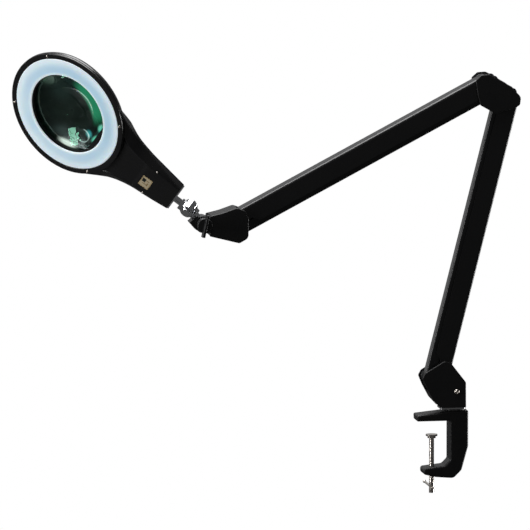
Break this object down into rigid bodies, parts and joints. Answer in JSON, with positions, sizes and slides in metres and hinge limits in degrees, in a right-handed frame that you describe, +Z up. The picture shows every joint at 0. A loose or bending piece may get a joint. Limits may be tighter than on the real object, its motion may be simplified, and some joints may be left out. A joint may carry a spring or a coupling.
{
  "type": "magnifying lamp",
  "caption": "Table-clamp magnifying lamp: sprung parallelogram arms carry a tilting, panning head with an LED ring light around a bifocal lens.",
  "frame": {"origin": "on the clamp screw's axis, on the face of the upper jaw that bears on the table", "axes": "+Z up, the arms lie in the XZ plane, the head is towards -X and looks towards -Y"},
  "size_m": [0.6793, 0.1582, 0.6111],
  "materials": {
    "black_paint": "satin black powder coat",
    "clamp_black": "black enamel over cast metal",
    "black_plastic": "fine satin moulding",
    "button_grey": "matt",
    "steel": "zinc plated",
    "nickel": "bright nickel plate",
    "chrome": "polished",
    "spring_steel": "oiled wire",
    "nylon": "natural satin",
    "rubber": "matt",
    "diffuser": "milky satin",
    "lens_glass": "coated, polished",
    "board": "white solder resist",
    "led": "phosphor",
    "component": "matt",
    "badge_gold": "printed foil"
  },
  "bodies": {
    "clamp": {"clamp_frame": "clamp_black", "swivel_bush": "nylon"},
    "clamp_pad": {"pressure_pad": "nickel"},
    "clamp_screw": {"clamp_screw": "nickel"},
    "tommy_bar": {"tommy_bar": "nickel"},
    "base_knuckle": {"base_bracket": "steel", "base_post": "black_paint", "base_spacer": "steel", "base_cover_near": "black_plastic", "base_cover_far": "black_plastic", "base_cover_screws": "nickel", "base_pins": "steel", "cord_gland": "rubber"},
    "lower_arm": {"lower_channel": "black_paint", "lower_spring": "spring_steel", "lower_spring_anchor": "steel"},
    "lower_link": {"lower_link": "black_paint", "lower_link_anchor": "steel"},
    "elbow": {"elbow_plates": "black_paint", "elbow_spacer": "steel", "elbow_cover_near": "black_plastic", "elbow_cover_far": "black_plastic", "elbow_pins": "steel"},
    "upper_arm": {"upper_channel": "black_paint", "upper_spring": "spring_steel", "upper_spring_anchor": "steel"},
    "upper_link": {"upper_link": "black_paint", "upper_link_anchor": "steel"},
    "end_bracket": {"end_plates": "black_paint", "end_spacer": "steel", "end_cover_near": "black_plastic", "end_cover_far": "black_plastic", "end_pins": "steel", "tilt_nut": "steel"},
    "wing_knob": {"wing_knob": "black_plastic", "tilt_bolt": "steel"},
    "yoke": {"tilt_yoke": "black_paint", "tilt_washers": "nylon"},
    "stub": {"pan_knuckle_lower": "chrome", "pan_bolt": "chrome"},
    "head": {"pan_knuckle_upper": "chrome", "neck_end_plate": "chrome", "head_front_shell": "black_plastic", "head_rear_shell": "black_plastic", "diffuser": "diffuser", "led_board": "board", "led_chips": "led", "lens": "lens_glass", "bifocal_lens": "lens_glass", "lens_ring": "black_plastic", "lens_gasket": "rubber", "driver_board": "board", "driver_parts": "component", "rim_screws": "nickel", "neck_screws": "nickel", "badge": "badge_gold", "lens_cover_pin": "steel"},
    "lens_cover": {"lens_cover": "black_paint"},
    "power_button": {"power_button": "button_grey"},
    "dimmer_button": {"dimmer_button": "button_grey"}
  },
  "joints": [
    {"name": "clamp_pad_travel", "type": "slide", "parent": "clamp", "child": "clamp_pad", "axis": [0, 0, 1], "range_m": [-0.036, 0.013]},
    {"name": "clamp_screw_turn", "type": "hinge", "parent": "clamp_pad", "child": "clamp_screw", "pos_m": [0, 0, 0], "axis": [0, 0, 1], "range_deg": [-6480, 2340]},
    {"name": "tommy_bar_slide", "type": "slide", "parent": "clamp_screw", "child": "tommy_bar", "axis": [0, 1, 0], "range_m": [-0.043, 0.002]},
    {"name": "base_swivel", "type": "hinge", "parent": "clamp", "child": "base_knuckle", "pos_m": [0.032, 0, 0.016], "axis": [0, 0, 1], "range_deg": [-175, 175]},
    {"name": "lower_arm_tilt", "type": "hinge", "parent": "base_knuckle", "child": "lower_arm", "pos_m": [0.0107, 0, 0.067], "axis": [0, 1, 0], "range_deg": [-75, 6], "deforming": ["lower_spring"]},
    {"name": "lower_link_turn", "type": "hinge", "parent": "base_knuckle", "child": "lower_link", "pos_m": [-0.00506, 0, 0.05469], "axis": [0, 1, 0], "range_deg": [-75, 6]},
    {"name": "elbow_level", "type": "hinge", "parent": "lower_arm", "child": "elbow", "pos_m": [0.10637, 0, 0.44508], "axis": [0, 1, 0], "range_deg": [-6, 75]},
    {"name": "upper_arm_tilt", "type": "hinge", "parent": "elbow", "child": "upper_arm", "pos_m": [0.08007, 0, 0.46288], "axis": [0, 1, 0], "range_deg": [-12, 75], "deforming": ["upper_spring"]},
    {"name": "upper_link_turn", "type": "hinge", "parent": "elbow", "child": "upper_link", "pos_m": [0.07329, 0, 0.44407], "axis": [0, 1, 0], "range_deg": [-12, 75]},
    {"name": "end_level", "type": "hinge", "parent": "upper_arm", "child": "end_bracket", "pos_m": [-0.26586, 0, 0.2828], "axis": [0, 1, 0], "range_deg": [-75, 12]},
    {"name": "yoke_tilt", "type": "hinge", "parent": "end_bracket", "child": "yoke", "pos_m": [-0.3166, 0, 0.2772], "axis": [0, 1, 0], "range_deg": [-110, 35]},
    {"name": "wing_knob_turn", "type": "hinge", "parent": "end_bracket", "child": "wing_knob", "pos_m": [-0.3166, 0, 0.2772], "axis": [0, 1, 0], "range_deg": [-360, 30]},
    {"name": "stub_swivel", "type": "hinge", "parent": "yoke", "child": "stub", "pos_m": [-0.3349, 0, 0.2984], "axis": [0.6534, 0, -0.757], "range_deg": [-180, 90]},
    {"name": "head_pan", "type": "hinge", "parent": "stub", "child": "head", "pos_m": [-0.3349, 0, 0.2984], "axis": [-0.5353, -0.7071, -0.462], "range_deg": [-77.8, 42.2]},
    {"name": "lens_cover_hinge", "type": "hinge", "parent": "head", "child": "lens_cover", "pos_m": [-0.4327, 0.04155, 0.387], "axis": [-0.3168, 0.6751, -0.6662], "range_deg": [0, 110]},
    {"name": "power_button_press", "type": "slide", "parent": "head", "child": "power_button", "axis": [-0.5353, -0.7071, -0.462], "range_m": [0, 0.0012], "stiffness_N_per_m": 300, "springref_m": -0.001},
    {"name": "dimmer_button_press", "type": "slide", "parent": "head", "child": "dimmer_button", "axis": [-0.5353, -0.7071, -0.462], "range_m": [0, 0.0012], "stiffness_N_per_m": 300, "springref_m": -0.001}
  ],
  "couplings": [
    {"joint": "clamp_pad_travel", "follows": "clamp_screw_turn", "m_per_rad": 0.00031831},
    {"joint": "lower_link_turn", "follows": "lower_arm_tilt", "ratio": 1},
    {"joint": "elbow_level", "follows": "lower_arm_tilt", "ratio": -1},
    {"joint": "upper_link_turn", "follows": "upper_arm_tilt", "ratio": 1},
    {"joint": "end_level", "follows": "upper_arm_tilt", "ratio": -1}
  ]
}
